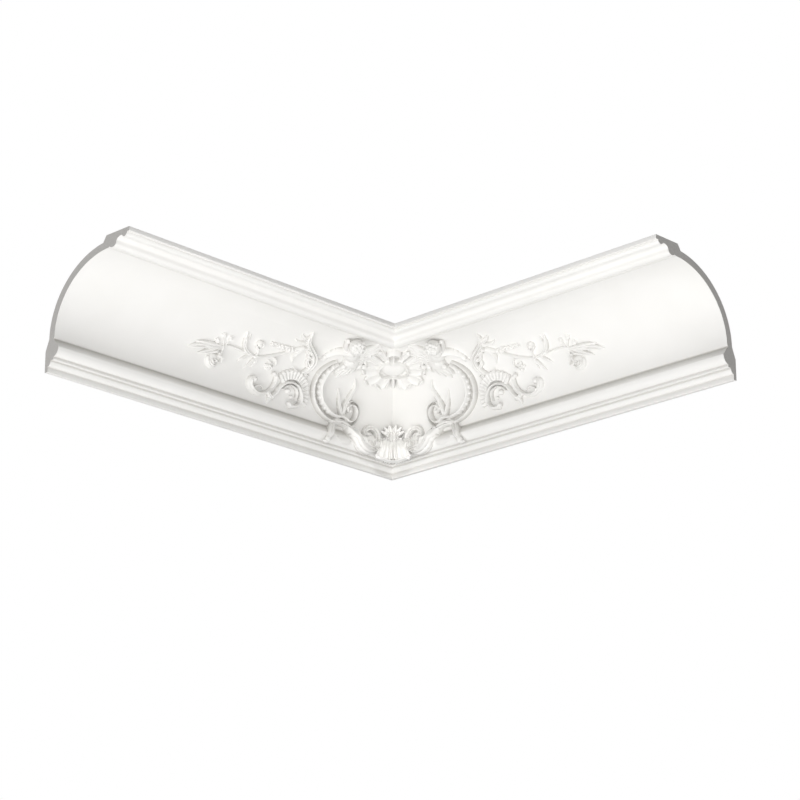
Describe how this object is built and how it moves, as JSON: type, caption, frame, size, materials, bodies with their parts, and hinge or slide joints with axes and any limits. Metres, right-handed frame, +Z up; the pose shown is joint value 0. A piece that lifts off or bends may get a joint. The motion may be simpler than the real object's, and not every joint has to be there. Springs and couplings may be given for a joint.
{
  "type": "cornice moulding inside corner",
  "caption": "Coved cornice moulding for an inside corner, two arms mitred at a right angle, with rococo relief of scrolls, shells, branches and small winged figures.",
  "frame": {"origin": "middle of the narrow underside at the foot of the mitre, where the two wall legs meet", "axes": "+Z up, out of the ceiling face; +Y out of the left arm's wall face, that arm runs towards -X; +X out of the right arm's wall face, that arm runs towards -Y"},
  "size_m": [0.69, 0.666, 0.17],
  "materials": {
    "white_moulded_polyurethane": "matt white primed, as moulded"
  },
  "bodies": {
    "root": {"cornice_corner": "white_moulded_polyurethane"}
  },
  "joints": []
}
